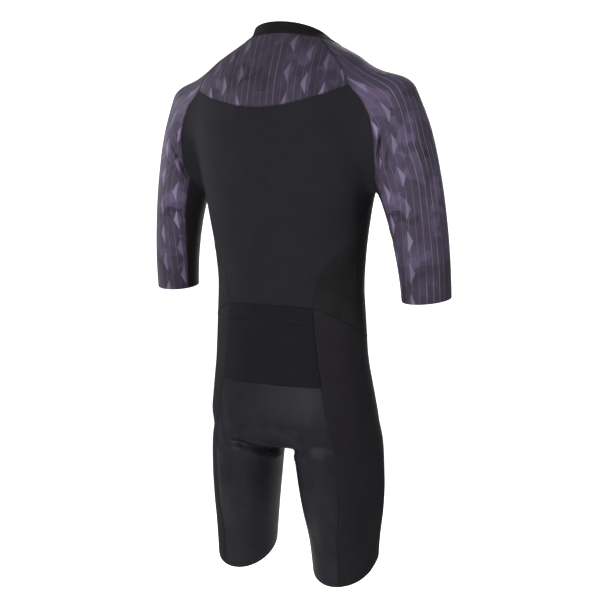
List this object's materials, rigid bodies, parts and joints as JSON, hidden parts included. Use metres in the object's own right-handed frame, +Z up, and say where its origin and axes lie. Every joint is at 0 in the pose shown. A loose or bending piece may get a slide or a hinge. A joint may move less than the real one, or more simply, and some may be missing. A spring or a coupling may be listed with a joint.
{
  "type": "triathlon suit",
  "caption": "One-piece triathlon suit with short raglan sleeves, stand collar, front zip, mesh sides, low back pocket, padded seat and knee-length legs, filled out as worn.",
  "frame": {"origin": "centre of the neck base, on the body's own axis, where the wearer's neck and shoulders hold the suit up", "axes": "+Z up, front faces -Y, back faces +Y, the wearer's left is +X"},
  "size_m": [0.5638, 0.213, 0.9538],
  "materials": {
    "printed_knit": "smooth dimpled knit with a tonal print, faint sheen",
    "body_knit": "matte black knit",
    "side_mesh": "matte black open knit",
    "shorts_knit": "smooth black warp knit with a soft sheen",
    "pocket_mesh": "matte black fine mesh",
    "collar_knit": "matte black knit, bound edge",
    "pad_foam": "brushed knit over foam",
    "zip_tape": "matte woven tape",
    "slider_metal": "black enamel over zinc, semi-gloss"
  },
  "bodies": {
    "garment": {"back_panel": "body_knit", "back_pocket": "pocket_mesh", "collar": "collar_knit", "front_left": "body_knit", "front_right": "body_knit", "leg_back_left": "shorts_knit", "leg_back_right": "shorts_knit", "leg_front_left": "shorts_knit", "leg_front_right": "shorts_knit", "leg_side_left": "shorts_knit", "leg_side_right": "shorts_knit", "seat_pad": "pad_foam", "side_mesh_left": "side_mesh", "side_mesh_right": "side_mesh", "sleeve_left": "printed_knit", "sleeve_right": "printed_knit", "under_sleeve_left": "body_knit", "under_sleeve_right": "body_knit", "yoke_back": "printed_knit", "zip_slider": "slider_metal", "zip_tape_left": "zip_tape", "zip_tape_right": "zip_tape"},
    "zip_pull": {"zip_pull": "slider_metal"}
  },
  "joints": [
    {"name": "pull_hinge", "type": "hinge", "parent": "garment", "child": "zip_pull", "pos_m": [0, -0.0707, -0.02944], "axis": [-1, 0, 0], "range_deg": [0, 150]}
  ]
}
